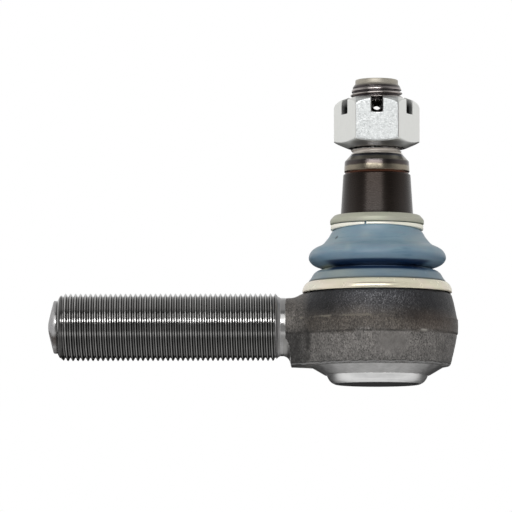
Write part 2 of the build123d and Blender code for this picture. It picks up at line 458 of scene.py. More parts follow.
class Graph:
    """Short names for building a node graph."""

    def __init__(self, nt):
        self.nt = nt

    def node(self, kind, **values):
        n = self.nt.nodes.new(kind)
        for k, v in values.items():
            setattr(n, k, v)
        return n

    def link(self, a, b):
        self.nt.links.new(a, b)

    def coords(self, rest=False, scale=(1, 1, 1), rotate=(0, 0, 0)):
        if rest:
            src = self.node("ShaderNodeAttribute", attribute_name="rest").outputs[
                "Vector"
            ]
        else:
            src = self.node("ShaderNodeTexCoord").outputs["Object"]
        m = self.node("ShaderNodeMapping")
        m.inputs["Scale"].default_value = scale
        m.inputs["Rotation"].default_value = rotate
        self.link(src, m.inputs["Vector"])
        return m.outputs["Vector"]

    def noise(self, vec, scale, detail=3.0, rough=0.55, distort=0.0):
        n = self.node("ShaderNodeTexNoise")
        n.inputs["Scale"].default_value = scale
        n.inputs["Detail"].default_value = detail
        n.inputs["Roughness"].default_value = rough
        n.inputs["Distortion"].default_value = distort
        self.link(vec, n.inputs["Vector"])
        return n.outputs["Fac"]

    def voronoi(self, vec, scale, out="Distance"):
        n = self.node("ShaderNodeTexVoronoi")
        n.inputs["Scale"].default_value = scale
        self.link(vec, n.inputs["Vector"])
        return n.outputs[out]

    def ramp(self, fac, stops):
        r = self.node("ShaderNodeValToRGB")
        e = r.color_ramp.elements
        while len(e) < len(stops):
            e.new(0.5)
        for i, (pos, col) in enumerate(stops):
            e[i].position = pos
            if not hasattr(col, "__len__"):
                col = (col, col, col)
            e[i].color = (*col[:3], 1)
        self.link(fac, r.inputs["Fac"])
        return r.outputs["Color"]

    def span(self, value, a, b, c=0.0, d=1.0):
        n = self.node("ShaderNodeMapRange")
        n.inputs["From Min"].default_value = a
        n.inputs["From Max"].default_value = b
        n.inputs["To Min"].default_value = c
        n.inputs["To Max"].default_value = d
        self.link(value, n.inputs["Value"])
        return n.outputs["Result"]

    def math(self, op, a, b=None, clamp=False):
        n = self.node("ShaderNodeMath", operation=op, use_clamp=clamp)
        for i, v in enumerate((a, b)):
            if v is None:
                continue
            if isinstance(v, (int, float)):
                n.inputs[i].default_value = v
            else:
                self.link(v, n.inputs[i])
        return n.outputs["Value"]

    def mix(self, fac, a, b, mode="MIX"):
        n = self.node("ShaderNodeMix", data_type="RGBA", blend_type=mode)
        for sock, v in ((n.inputs[0], fac), (n.inputs[6], a), (n.inputs[7], b)):
            if isinstance(v, (int, float)):
                sock.default_value = v
            elif isinstance(v, tuple):
                sock.default_value = (*v[:3], 1)
            else:
                self.link(v, sock)
        return n.outputs[2]

    def blend(self, fac, a, b):
        """Mix two numbers."""
        n = self.node("ShaderNodeMix", data_type="FLOAT")
        for sock, v in ((n.inputs[0], fac), (n.inputs[2], a), (n.inputs[3], b)):
            if isinstance(v, (int, float)):
                sock.default_value = v
            else:
                self.link(v, sock)
        return n.outputs[0]

    def attr(self, name):
        return self.node("ShaderNodeAttribute", attribute_name=name).outputs["Fac"]

    def xyz(self, vec):
        n = self.node("ShaderNodeSeparateXYZ")
        self.link(vec, n.inputs[0])
        return n.outputs

    def bump(self, height, strength, distance, normal=None):
        n = self.node("ShaderNodeBump")
        n.inputs["Strength"].default_value = strength
        n.inputs["Distance"].default_value = distance
        self.link(height, n.inputs["Height"])
        if normal is not None:
            self.link(normal, n.inputs["Normal"])
        return n.outputs["Normal"]


def tone(g, value, low, high):
    """Turn a noise value into a multiplier between low and high."""
    return g.span(value, 0.32, 0.68, low, high)


def stripe(g, value, middle, half):
    """1 in the middle of a stripe, 0 from half a width away."""
    d = g.math("ABSOLUTE", g.math("SUBTRACT", value, middle))
    return g.span(d, half, half * 0.35)


def grey(g, col, factor):
    """Multiply a colour by a number."""
    c = g.node("ShaderNodeCombineXYZ")
    for i in range(3):
        g.link(factor, c.inputs[i])
    return g.mix(1.0, col, c.outputs[0], "MULTIPLY")


def forged_material():
    """Forging scale on the head and neck, going over to turned metal where the mach attribute is 1."""
    mat, nt, b = new_material("forged_scale")
    g = Graph(nt)
    co = g.coords()
    x, y, z = (g.xyz(co)[k] for k in "XYZ")
    big = g.noise(co, 75, 3, 0.6)
    patch = g.noise(co, 260, 3, 0.6)
    mid = g.noise(g.coords(scale=(1, 1, 0.7)), 1250, 4, 0.75)
    fine = g.noise(g.coords(scale=(1, 1, 0.45)), 2700, 3, 0.85)
    turn = g.math("ARCTAN2", x, g.math("MULTIPLY", y, -1.0))
    side = g.span(g.math("ABSOLUTE", turn), 0.30, 0.75)
    wz = g.math("ADD", z, g.span(big, 0.3, 0.7, -0.0012, 0.0012))
    # scale colour by height, darker and bluer towards the top; the lower, downward-facing cone is painted lighter,
    # as light from below
    dark = g.ramp(
        g.span(wz, -0.017, 0.016),
        [
            (0.00, (0.132, 0.127, 0.121)),
            (0.15, (0.172, 0.162, 0.153)),
            (0.38, (0.166, 0.156, 0.146)),
            (0.43, (0.088, 0.078, 0.068)),
            (0.55, (0.078, 0.066, 0.055)),
            (0.66, (0.064, 0.056, 0.050)),
            (0.76, (0.037, 0.035, 0.037)),
            (1.00, (0.042, 0.044, 0.051)),
        ],
    )
    shade = g.mix(side, (0.80, 0.81, 0.84), (0.33, 0.34, 0.37))
    high = g.span(wz, 0.001, 0.007)
    dark = g.mix(high, dark, g.mix(1.0, dark, shade, "MULTIPLY"))
    # the neck is browner above the flash line and darker under it
    on_neck = g.span(x, -0.0285, -0.0325)
    neck = g.ramp(
        g.span(wz, -0.014, 0.012),
        [(0.0, (0.046, 0.044, 0.042)), (0.38, (0.052, 0.049, 0.046)), (0.50, (0.105, 0.096, 0.087)), (1.0, (0.120, 0.108, 0.098))],
    )
    dark = g.mix(on_neck, dark, neck)
    # pale specks in the scale, with a painted highlight: denser and brighter on the front of the collar end of the
    # head, where the sheen falls
    top = g.math("MULTIPLY", g.span(z, 0.0035, 0.009), g.span(g.math("ABSOLUTE", turn), 0.62, 0.22))
    specks_and_glint = g.math("MULTIPLY", g.ramp(fine, [(0.52, 0.0), (0.66, 1.0)]), g.blend(top, 0.16, 0.75))
    calm = g.attr("calm")
    col = grey(g, dark, tone(g, patch, 0.80, 1.20))
    col = grey(g, col, g.blend(calm, tone(g, mid, 0.38, 1.66), 1.0))
    col = grey(g, col, g.blend(calm, tone(g, fine, 0.44, 1.58), 1.02))
    # painted shade in two patches, at the upper left and over the right of the flash
    col = grey(g, col, g.blend(g.attr("painted_shadow"), 1.0, 0.36))
    # pale specks, with the painted highlight on the front of the upper cone
    col = g.mix(g.math("MULTIPLY", specks_and_glint, 0.75), col, (0.34, 0.34, 0.35))
    pits = g.ramp(g.noise(co, 1700, 2, 0.5), [(0.32, 1.0), (0.41, 0.0)])
    pits = g.math("MULTIPLY", pits, g.blend(calm, 0.75, 0.0))
    col = g.mix(pits, col, (0.020, 0.018, 0.017))
    # flash lines: bare on the upper edge, and a painted shadow along the lower one, under its step
    ragged = g.span(mid, 0.3, 0.7, -0.00035, 0.00035)
    lz = g.math("ADD", z, ragged)
    bare = g.math("MULTIPLY", stripe(g, lz, 0.0029, 0.00055), g.span(patch, 0.42, 0.62))
    bare = g.math("MULTIPLY", bare, g.span(x, 0.004, -0.004))
    col = g.mix(g.math("MULTIPLY", bare, 0.55), col, (0.23, 0.21, 0.165))
    seam_shadow = g.math("MULTIPLY", stripe(g, lz, -0.0035, 0.0006), g.span(patch, 0.36, 0.58, 0.10, 1.0))
    seam_shadow = g.math("MULTIPLY", seam_shadow, g.span(x, 0.006, 0.014, 1.0, 0.3))
    col = g.mix(g.math("MULTIPLY", seam_shadow, 0.7), col, (0.022, 0.020, 0.018))
    nick = g.noise(g.coords(scale=(1, 1, 0.2)), 330, 2, 0.5)
    edge = g.math("ADD", z, g.span(nick, 0.3, 0.7, -0.0003, 0.0003))
    col = g.mix(g.math("MULTIPLY", stripe(g, edge, -0.0158, 0.00034), g.span(patch, 0.4, 0.6, 0.15, 0.7)), col, (0.020, 0.019, 0.018))
    sill = stripe(g, edge, -0.0163, 0.00036)
    col = g.mix(g.math("MULTIPLY", sill, g.span(nick, 0.35, 0.65, 0.35, 0.8)), col, (0.33, 0.33, 0.33))
    # the rusty patch and the scrape on it
    warm = g.math("MULTIPLY", stripe(g, z, 0.001, 0.0055), stripe(g, turn, 0.85, 0.65))
    col = g.mix(g.math("MULTIPLY", warm, 0.18), col, (0.105, 0.066, 0.048))
    col = g.mix(g.math("MULTIPLY", g.attr("scrape"), 0.85), col, (0.42, 0.40, 0.36))
    # painted shade in the hollow at the neck and under the flash
    col = g.mix(g.math("MULTIPLY", g.attr("hollow_shade"), 0.88), col, (0.020, 0.019, 0.018))
    mach = g.attr("mach")
    border = g.math("ADD", mach, g.span(mid, 0.3, 0.7, -0.18, 0.18))
    border = g.ramp(border, [(0.42, 0.0), (0.58, 1.0)])
    rings = g.noise(g.coords(scale=(1, 1, 6)), 500, 3, 0.6)
    bright = g.ramp(rings, [(0.3, (0.42, 0.415, 0.41)), (0.7, (0.55, 0.545, 0.54))])
    below = g.span(z, -0.0164, -0.0169)
    bright = g.mix(below, (0.36, 0.355, 0.345), bright)
    bright = grey(g, bright, tone(g, patch, 0.90, 1.08))
    col = g.mix(border, col, bright)
    g.link(col, b.inputs["Base Color"])
    metal = g.blend(border, 0.45, 1.0)
    g.link(metal, b.inputs["Metallic"])
    rough = g.span(mid, 0.3, 0.7, 0.36, 0.60)
    rough = g.blend(border, rough, g.span(rings, 0.3, 0.7, 0.28, 0.40))
    g.link(rough, b.inputs["Roughness"])
    height = g.math("ADD", g.math("MULTIPLY", mid, 0.9), g.math("MULTIPLY", fine, 0.45))
    height = g.blend(border, height, g.math("MULTIPLY", rings, 0.10))
    n = g.bump(g.blend(calm, height, 0.5), 0.7, 0.00028)
    g.link(n, b.inputs["Normal"])
    return mat


def shank_material():
    """Cut thread: bright crests and roots with greyer flanks."""
    mat, nt, b = new_material("cut_thread")
    g = Graph(nt)
    co = g.coords()
    root = g.attr("root")
    blotch = g.noise(co, 120, 3, 0.6)
    scratch = g.noise(g.coords(scale=(8, 1, 1)), 700, 3, 0.6)
    col = g.ramp(
        root,
        [
            (0.00, (0.52, 0.515, 0.505)),
            (0.08, (0.44, 0.435, 0.43)),
            (0.26, (0.20, 0.198, 0.194)),
            (0.72, (0.115, 0.113, 0.110)),
            (0.92, (0.13, 0.128, 0.125)),
            (1.00, (0.27, 0.267, 0.262)),
        ],
    )
    col = grey(g, col, tone(g, blotch, 0.86, 1.12))
    # brown stain and dark pits, with painted shade on the lower side of the nose
    stain_and_shade = g.attr("stain_and_shade")
    stain_and_shade = g.math("MULTIPLY", stain_and_shade, g.span(blotch, 0.35, 0.6, 0.7, 1.0), clamp=True)
    col = g.mix(stain_and_shade, col, (0.045, 0.033, 0.027))
    # painted light and shade: the thread lighter above and darker below
    col = grey(g, col, g.attr("lit_above_shaded_below"))
    raw = g.attr("raw")
    plum = g.ramp(g.noise(co, 420, 4, 0.65), [(0.35, (0.36, 0.352, 0.356)), (0.65, (0.42, 0.415, 0.415))])
    col = g.mix(g.math("MULTIPLY", raw, g.math("SUBTRACT", 1.0, stain_and_shade)), col, plum)
    col = g.mix(
        g.ramp(scratch, [(0.62, 0.0), (0.80, 0.25)]), col, (0.62, 0.615, 0.60)
    )
    g.link(col, b.inputs["Base Color"])
    g.link(g.blend(stain_and_shade, g.blend(raw, 1.0, 0.4), 0.3), b.inputs["Metallic"])
    rough = g.span(blotch, 0.3, 0.7, 0.12, 0.19)
    rough = g.math("ADD", rough, g.math("MULTIPLY", raw, 0.42))
    g.link(rough, b.inputs["Roughness"])
    height = g.math(
        "ADD",
        g.math("MULTIPLY", scratch, 0.09),
        g.math("MULTIPLY", g.noise(co, 1500, 3, 0.6), raw),
    )
    g.link(g.bump(height, 0.35, 0.00012), b.inputs["Normal"])
    return mat


def stud_material():
    """Ground shank under a dark oil film: brown-black cone, bare shoulder band, pale grey thread."""
    mat, nt, b = new_material("stud_steel")
    g = Graph(nt)
    co = g.coords()
    z = g.xyz(co)["Z"]
    soft = g.noise(co, 140, 4, 0.6)
    streak = g.noise(g.coords(scale=(1, 1, 9)), 350, 3, 0.6)
    zz = g.math("ADD", z, g.span(soft, 0.3, 0.7, -0.00022, 0.00022))
    # oil film colour by height; the first thread turn under the nut is painted light, as light from below, and the
    # bluish band at the top of the shoulder is a painted reflection
    film = g.ramp(
        g.span(zz, 0.0640, 0.0745),
        [
            (0.00, (0.0205, 0.0145, 0.0115)),
            (0.06, (0.024, 0.0145, 0.0115)),
            (0.10, (0.095, 0.034, 0.018)),
            (0.155, (0.100, 0.042, 0.024)),
            (0.20, (0.25, 0.215, 0.165)),
            (0.375, (0.27, 0.24, 0.185)),
            (0.43, (0.080, 0.066, 0.060)),
            (0.57, (0.072, 0.064, 0.064)),
            (0.64, (0.22, 0.202, 0.170)),
            (0.74, (0.24, 0.225, 0.195)),
            (0.77, (0.130, 0.134, 0.165)),
            (0.84, (0.150, 0.152, 0.175)),
            (0.875, (0.56, 0.52, 0.47)),
            (1.00, (0.58, 0.54, 0.49)),
        ],
    )
    col = g.mix(g.ramp(soft, [(0.45, 0.0), (0.75, 0.35)]), film, g.mix(1.0, film, (0.62, 0.58, 0.60), "MULTIPLY"))
    thread = g.span(z, 0.0749, 0.0752)
    root = g.attr("root")
    cut = g.ramp(
        root,
        [
            (0.0, (0.62, 0.575, 0.545)),
            (0.25, (0.54, 0.50, 0.48)),
            (0.70, (0.24, 0.215, 0.21)),
            (1.0, (0.07, 0.062, 0.064)),
        ],
    )
    col = g.mix(thread, col, cut)
    ragged = g.noise(co, 900, 3, 0.7)
    # painted shade on the thread inside the nut, left speckled
    in_nut_shade = g.math("MULTIPLY", g.span(z, 0.0975, 0.0967), g.span(z, 0.0749, 0.0753))
    in_nut_shade = g.math("MULTIPLY", in_nut_shade, g.ramp(ragged, [(0.50, 1.0), (0.60, 0.25)]))
    col = g.mix(in_nut_shade, col, (0.010, 0.010, 0.010))
    end = g.ramp(g.span(z, 0.1020, 0.1032), [(0.0, 0.0), (1.0, 1.0)])
    pilot = g.ramp(soft, [(0.3, (0.37, 0.34, 0.28)), (0.7, (0.45, 0.42, 0.36))])
    col = g.mix(end, col, pilot)
    # painted shade: the cotter hole's wall near black
    col = g.mix(g.attr("hole"), col, (0.008, 0.008, 0.008))
    g.link(col, b.inputs["Base Color"])
    metal = g.ramp(g.span(z, 0.0648, 0.0660), [(0.0, 0.80), (1.0, 0.97)])
    metal = g.blend(stripe(g, z, 0.0743, 0.0013), metal, 0.25)
    metal = g.blend(stripe(g, z, 0.0300, 0.0347), metal, 0.45)
    hole = g.attr("hole")
    g.link(g.blend(hole, g.blend(end, metal, 0.55), 0.0), b.inputs["Metallic"])
    rough = g.span(streak, 0.3, 0.7, 0.25, 0.31)
    bare = g.span(z, 0.0655, 0.0662)
    rough = g.blend(bare, rough, g.span(streak, 0.3, 0.7, 0.19, 0.27))
    rough = g.blend(end, rough, 0.46)
    rough = g.blend(hole, rough, 0.98)
    g.link(rough, b.inputs["Roughness"])
    height = g.math("ADD", g.math("MULTIPLY", streak, 0.5), g.math("MULTIPLY", soft, 0.3))
    g.link(g.bump(height, 0.14, 0.00012), b.inputs["Normal"])
    return mat


def zinc_material():
    """Bright zinc plating with a fine crystalline sparkle on the struck flats."""
    mat, nt, b = new_material("nut_zinc")
    g = Graph(nt)
    co = g.coords()
    cloud = g.noise(co, 160, 4, 0.6)
    grain = g.noise(co, 1350, 4, 0.80)
    cells = g.voronoi(co, 2200, "Color")
    flat = g.attr("flat")
    tone_ = g.ramp(cloud, [(0.3, (0.83, 0.835, 0.805)), (0.7, (0.90, 0.905, 0.875))])
    struck = g.ramp(
        grain,
        [(0.30, (0.36, 0.372, 0.371)), (0.43, (0.450, 0.463, 0.462)), (0.56, (0.515, 0.530, 0.528)), (0.72, (0.61, 0.622, 0.615))],
    )
    struck = grey(g, struck, g.span(g.xyz(cells)["X"], 0, 1, 0.90, 1.09))
    col = g.mix(flat, tone_, struck)
    # painted shade on the bottom chamfer and low on the front and back flats
    under = g.attr("under")
    col = grey(g, col, g.blend(under, 1.0, 0.36))
    # painted shade inside the slots and the bore
    inner = g.attr("inner")
    col = g.mix(inner, col, (0.022, 0.023, 0.022))
    g.link(col, b.inputs["Base Color"])
    g.link(g.blend(inner, 1.0, 0.4), b.inputs["Metallic"])
    rough = g.blend(flat, g.span(cloud, 0.3, 0.7, 0.34, 0.42), g.span(g.xyz(cells)["Y"], 0.0, 1.0, 0.30, 0.50))
    g.link(rough, b.inputs["Roughness"])
    height = g.math(
        "ADD", g.math("MULTIPLY", grain, 1.0), g.math("MULTIPLY", g.xyz(cells)["Y"], 0.35)
    )
    height = g.math("MULTIPLY", height, g.blend(flat, 0.25, 1.0))
    g.link(g.bump(height, 0.5, 0.00009), b.inputs["Normal"])
    return mat


def plated_material(name, pale, rough, metallic, cast=0.5):
    """Yellow passivated plating on the pressed rings: pale straw with a pink and green cast."""
    mat, nt, b = new_material(name)
    g = Graph(nt)
    co = g.coords()
    sway = g.noise(g.coords(scale=(1, 1, 3)), 55, 3, 0.6, 0.6)
    hue = g.ramp(
        sway,
        [
            (0.25, (0.90, 0.95, 0.84)),
            (0.45, (1.0, 0.97, 0.84)),
            (0.58, (1.0, 0.92, 0.88)),
            (0.75, (0.94, 0.98, 0.94)),
        ],
    )
    col = g.mix(cast, pale, g.mix(1.0, pale, hue, "MULTIPLY"))
    dull = g.noise(co, 420, 4, 0.7)
    col = grey(g, col, tone(g, dull, 0.975, 1.02))
    # brown lines along the edges of the ring's highlight: a painted reflection
    lines = g.attr("lines")
    col = g.mix(g.math("MULTIPLY", lines, 0.85), col, (0.17, 0.12, 0.10))
    g.link(col, b.inputs["Base Color"])
    g.link(g.blend(lines, metallic, 0.0), b.inputs["Metallic"])
    g.link(g.blend(lines, g.span(dull, 0.3, 0.7, rough, rough + 0.04), 0.55), b.inputs["Roughness"])
    draw = g.noise(g.coords(scale=(1, 1, 12)), 200, 2, 0.5)
    g.link(g.bump(draw, 0.02, 0.0001), b.inputs["Normal"])
    return mat


def cap_material():
    """Pressed bright cap with handling scratches, its flat end painted near black as shade on its downward face.
    """
    mat, nt, b = new_material("cap_bright")
    g = Graph(nt)
    co = g.coords()
    z = g.xyz(co)["Z"]
    cloud = g.noise(co, 110, 4, 0.6)
    s1 = g.noise(g.coords(scale=(1, 1, 14), rotate=(0.1, 0.05, 0)), 420, 2, 0.6)
    s2 = g.noise(g.coords(scale=(0.12, 0.12, 3.2), rotate=(0.02, 0.03, 0)), 420, 3, 0.7)
    s3 = g.noise(g.coords(scale=(1, 16, 1), rotate=(0, 0, 0.25)), 240, 2, 0.6)
    col = g.ramp(cloud, [(0.35, (0.87, 0.87, 0.865)), (0.62, (1.0, 1.0, 0.99))])
    col = g.mix(g.ramp(s2, [(0.54, 0.0), (0.64, 0.55)]), col, (0.70, 0.70, 0.70))
    col = g.mix(g.ramp(s2, [(0.34, 0.8), (0.45, 0.0)]), col, (1.0, 1.0, 0.99))
    # painted shade: the downward-facing flat end near black
    under = g.span(z, -0.02418, -0.02436)
    col = g.mix(under, col, g.ramp(cloud, [(0.3, (0.022, 0.022, 0.022)), (0.7, (0.040, 0.040, 0.040))]))
    g.link(col, b.inputs["Base Color"])
    b.inputs["Metallic"].default_value = 1.0
    rough = g.span(cloud, 0.3, 0.7, 0.28, 0.38)
    g.link(g.blend(under, rough, 0.10), b.inputs["Roughness"])
    h = g.math("ADD", s1, g.math("ADD", g.math("MULTIPLY", s2, 0.6), g.math("MULTIPLY", s3, 0.6)))
    g.link(g.bump(h, 0.25, 0.00012), b.inputs["Normal"])
    return mat


def boot_material():
    """Blue-grey moulded rubber with a worn bloom, painted shade in the fold and on its lower half, and a painted
    highlight along the crease.
    """
    mat, nt, b = new_material("boot_rubber")
    g = Graph(nt)
    co = g.coords(rest=True)
    cloud = g.noise(co, 70, 4, 0.6)
    streak = g.noise(g.coords(rest=True, scale=(0.6, 0.6, 7)), 160, 3, 0.6)
    col = g.ramp(
        cloud,
        [(0.3, (0.148, 0.238, 0.305)), (0.52, (0.180, 0.275, 0.334)), (0.72, (0.232, 0.296, 0.325))],
    )
    col = g.mix(g.ramp(streak, [(0.48, 0.0), (0.70, 0.65)]), col, (0.190, 0.235, 0.300))
    col = g.mix(g.ramp(streak, [(0.30, 0.60), (0.44, 0.0)]), col, (0.085, 0.165, 0.225))
    # painted shade below the widest part of the lobe
    col = g.mix(g.math("MULTIPLY", g.attr("low"), 0.50), col, (0.060, 0.125, 0.200))
    col = g.mix(g.math("MULTIPLY", g.attr("patch"), 0.40), col, (0.30, 0.36, 0.36))
    bloom = g.attr("bloom")
    col = g.mix(g.math("MULTIPLY", bloom, 0.8), col, (0.220, 0.262, 0.262))
    col = g.mix(g.math("MULTIPLY", g.attr("straw"), 0.7), col, (0.42, 0.44, 0.33))
    # painted shade in the fold
    col = g.mix(g.attr("fold"), col, (0.0012, 0.0165, 0.058))
    # painted highlight along the crease
    col = g.mix(g.math("MULTIPLY", g.attr("crease"), 0.9), col, (0.34, 0.50, 0.72))
    nicks = g.noise(g.coords(rest=True, scale=(3.2, 3.2, 0.5)), 330, 3, 0.7)
    scuff = g.math("MULTIPLY", g.ramp(nicks, [(0.60, 0.0), (0.66, 1.0)]), g.attr("scuff"))
    col = g.mix(g.math("MULTIPLY", scuff, 0.75), col, (0.30, 0.38, 0.48))
    col = g.mix(g.attr("dot"), col, (0.010, 0.016, 0.03))
    col = g.mix(g.math("MULTIPLY", g.attr("rim"), 0.6), col, (0.05, 0.06, 0.06))
    g.link(col, b.inputs["Base Color"])
    b.inputs["Specular IOR Level"].default_value = 0.5
    g.link(g.span(cloud, 0.3, 0.7, 0.38, 0.50), b.inputs["Roughness"])
    h = g.math("ADD", g.math("MULTIPLY", g.noise(co, 700, 3, 0.6), 0.5), g.math("MULTIPLY", streak, 0.6))
    g.link(g.bump(h, 0.20, 0.0002), b.inputs["Normal"])
    return mat


def plain_material(name, light, dark, rough, metallic, scale=300):
    """For the sealed inner pieces."""
    mat, nt, b = new_material(name)
    g = Graph(nt)
    co = g.coords()
    n = g.noise(co, scale, 4, 0.6)
    g.link(g.ramp(n, [(0.3, dark), (0.7, light)]), b.inputs["Base Color"])
    b.inputs["Metallic"].default_value = metallic
    g.link(g.span(n, 0.3, 0.7, rough, rough + 0.15), b.inputs["Roughness"])
    g.link(g.bump(n, 0.15, 0.0001), b.inputs["Normal"])
    return mat


def dress(ob, mat, slot, body, *nodes):
    ob.data.materials.clear()
    ob.data.materials.append(mat)
    if body:
        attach(ob, body)
    if nodes:
        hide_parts(*nodes)
    return ob


# ------------------------------------------------------------------ forged head and neck
HEAD = [
    (-22.0, 29.6),
    (-16.7, 30.75),
    (-14.2, 31.5),
    (-11.7, 32.05),
    (-9.6, 32.55),
    (-7.5, 33.0),
    (-5.4, 33.4),
    (-4.3, 33.62),
    (-3.75, 33.60),
    (-3.45, 33.66),
    (-3.15, 34.02),
    (-2.9, 34.1),
    (0.0, 34.15),
    (2.75, 34.15),
    (3.15, 33.85),
    (5.6, 33.35),
    (9.0, 32.6),
    (12.4, 31.75),
    (14.3, 31.2),
    (20.0, 29.5),
]
HZ = np.array([p[0] for p in HEAD], np.float32)
HR = np.array([p[1] for p in HEAD], np.float32)
NX = np.array([-42, -39, -36.5, -34.8, -33.6, -32.6, -31.5, -30, -28, -24, -18], np.float32)
NW = np.array([12.1, 12.15, 12.5, 13.2, 14.0, 14.9, 15.9, 17.3, 19.2, 21.5, 22.0], np.float32)
NT = np.array([12.1, 12.15, 12.3, 12.6, 13.05, 13.75, 14.25, 14.6, 14.8, 15.0, 15.0], np.float32)
TURN_X = np.array([-46, -40.3, -39.6, -38.9, -38.2, -37.6, -37.1, -36.75, -36.5, -36.3], np.float32)
TURN_R = np.array([12.2, 12.2, 12.35, 12.55, 12.95, 13.5, 14.3, 15.4, 16.9, 20.0], np.float32)
LIP = [
    (19.0, -15.0),
    (28.6, -15.0),
    (28.6, -16.72),
    (28.4, -16.85),
    (22.25, -20.45),
    (21.95, -20.55),
    (21.75, -20.4),
    (19.0, -20.4),
]
CAVITY = [
    (-5.0, -25.0),
    (21.75, -25.0),
    (21.75, -18.63),
    (25.0, -16.69),
    (25.0, -12.5),
    (21.0, -12.5),
    (21.0, 3.5),
    (16.8, 9.9),
    (18.8, 19.5),
    (18.8, 25.0),
    (-5.0, 25.0),
]


def head_field(x, y, z):
    r = np.sqrt(x * x + y * y) + 1e-6
    head = (r - np.interp(z, HZ, HR)) * 0.985
    ay = np.abs(y)
    w = np.interp(x, NX, NW) + 0.33 * step(z, -3.5, -3.1) - 0.12
    t = np.interp(x, NX, NT)
    up = np.sqrt((y / w) ** 2 + (np.maximum(z, 0) / t) ** 2) * np.minimum(w, t)
    up = up - np.minimum(w, t)
    low = (ay - (w + 0.16 * np.minimum(z, 0))) * 0.987
    neck = np.where(z > 0, up, low)
    neck = np.maximum(neck, x + 12.0)
    side = smooth_min(head, neck, 1.6)
    body = smooth_max(side, z - 14.3, 1.6)
    body = smooth_max(body, -16.7 - z, 0.9)
    # the turning tool's sweep where the shank begins
    rx = np.sqrt(y * y + z * z)
    sweep = (rx - np.interp(x, TURN_X, TURN_R)) * 0.7
    body = np.where(x < -36.3, np.maximum(body, sweep), body)
    body = np.maximum(body, -39.9 - x)
    ang = np.arctan2(y, x)
    wob = 0.10 * np.sin(ang * 9 + 1.0) + 0.07 * np.sin(ang * 23 + 2.0)
    lip = polygon_distance(r + wob * step(r, 24, 28), z, LIP)
    body = np.minimum(body, lip)
    boss = np.maximum(np.maximum(r - 23.5, z - 19.0), 12.0 - z)
    body = np.minimum(body, boss)
    return np.maximum(body, -polygon_distance(r, z, CAVITY))


voxel = 0.42
head, hv = skin("forged_head", head_field, (-41.2, -36.2, -22.2), (36.2, 36.2, 20.4), voxel)
r = np.hypot(hv[:, 0], hv[:, 1])
rx = np.hypot(hv[:, 1], hv[:, 2])
swept = np.abs(rx - np.interp(hv[:, 0], TURN_X, TURN_R)) < 0.25
swept &= hv[:, 0] < -36.45
under = (hv[:, 2] < -16.78) | ((r < 28.3) & (hv[:, 2] < -16.0))
bore = (r < 25.3) & (hv[:, 2] < 19.5) & (hv[:, 2] > -20)
mach = (swept | under | bore).astype(float)
raw = 1 - mach
raw *= step(hv[:, 2], -16.9, -16.0)
shift = (
    0.085 * noise3(hv, 5.0) + 0.055 * noise3(hv, 2.1) + 0.035 * noise3(hv, 1.0)
) * raw
normal = np.zeros(len(head.data.vertices) * 3, np.float32)
head.data.vertices.foreach_get("normal", normal)
co = hv + normal.reshape(-1, 3) * shift[:, None]
head.data.vertices.foreach_set("co", (co * MM).astype(np.float32).ravel())
head.data.update()
attribute(head, "mach", mach)
turn = np.arctan2(hv[:, 0], -hv[:, 1])
arc = (turn - 0.60) * 34.0
attribute(
    head,
    "scrape",
    np.exp(-((arc / 1.7) ** 4)) * np.exp(-(((hv[:, 2] + 3.1 + 0.04 * arc) / 0.42) ** 2)),
)
# painted shade at the upper left and over the right of the flash, and a rubbed, even patch below it
painted_shadow = np.exp(-(((hv[:, 0] + 22.5) / 7.0) ** 2) - ((hv[:, 2] - 6.6) / 3.4) ** 2)
painted_shadow = np.maximum(painted_shadow, np.exp(-(((hv[:, 0] - 20.0) / 11.0) ** 4) - ((hv[:, 2] - 3.2) / 3.0) ** 2))
attribute(head, "painted_shadow", np.clip(painted_shadow * (hv[:, 1] < 0) * (0.9 + 0.25 * noise3(hv, 3.0)), 0, 1))
calm = np.exp(-(((hv[:, 0] - 6.0) / 7.0) ** 4) - ((hv[:, 2] + 8.5) / 5.0) ** 4) * (hv[:, 1] < 0)
attribute(head, "calm", np.clip(0.8 * calm * (1.0 + 0.4 * noise3(hv, 4.0)), 0, 0.85))
# painted shade in the hollow where the neck runs into the head, and under the flash
hollow = np.exp(-(((hv[:, 0] + 29.3) / 1.5) ** 2)) * step(np.abs(hv[:, 1]), 9.0, 13.0)
hollow *= step(hv[:, 2], 1.0, -3.5) * step(hv[:, 2], -16.6, -14.0)
hollow = np.maximum(hollow, 0.55 * step(hv[:, 0], -31.5, -35.0) * step(hv[:, 2], -3.0, -6.0))
attribute(head, "hollow_shade", np.clip(hollow * (0.75 + 0.35 * noise3(hv, 1.6)), 0, 1))
dress(head, forged_material(), "forged_steel", "housing", "housing")

# ------------------------------------------------------------------ threaded shank
P = 25.4 / 12
SEG = 144


def shank_limit(x):
    return float(
        np.interp(
            x,
            [-135.3, -134.7, -134.1, -133.3, -132.7, -43.2, -42.0, -41.0],
            [11.2, 12.5, 13.35, 13.6, 14.2875, 14.2875, 12.9, 12.35],
        )
    )


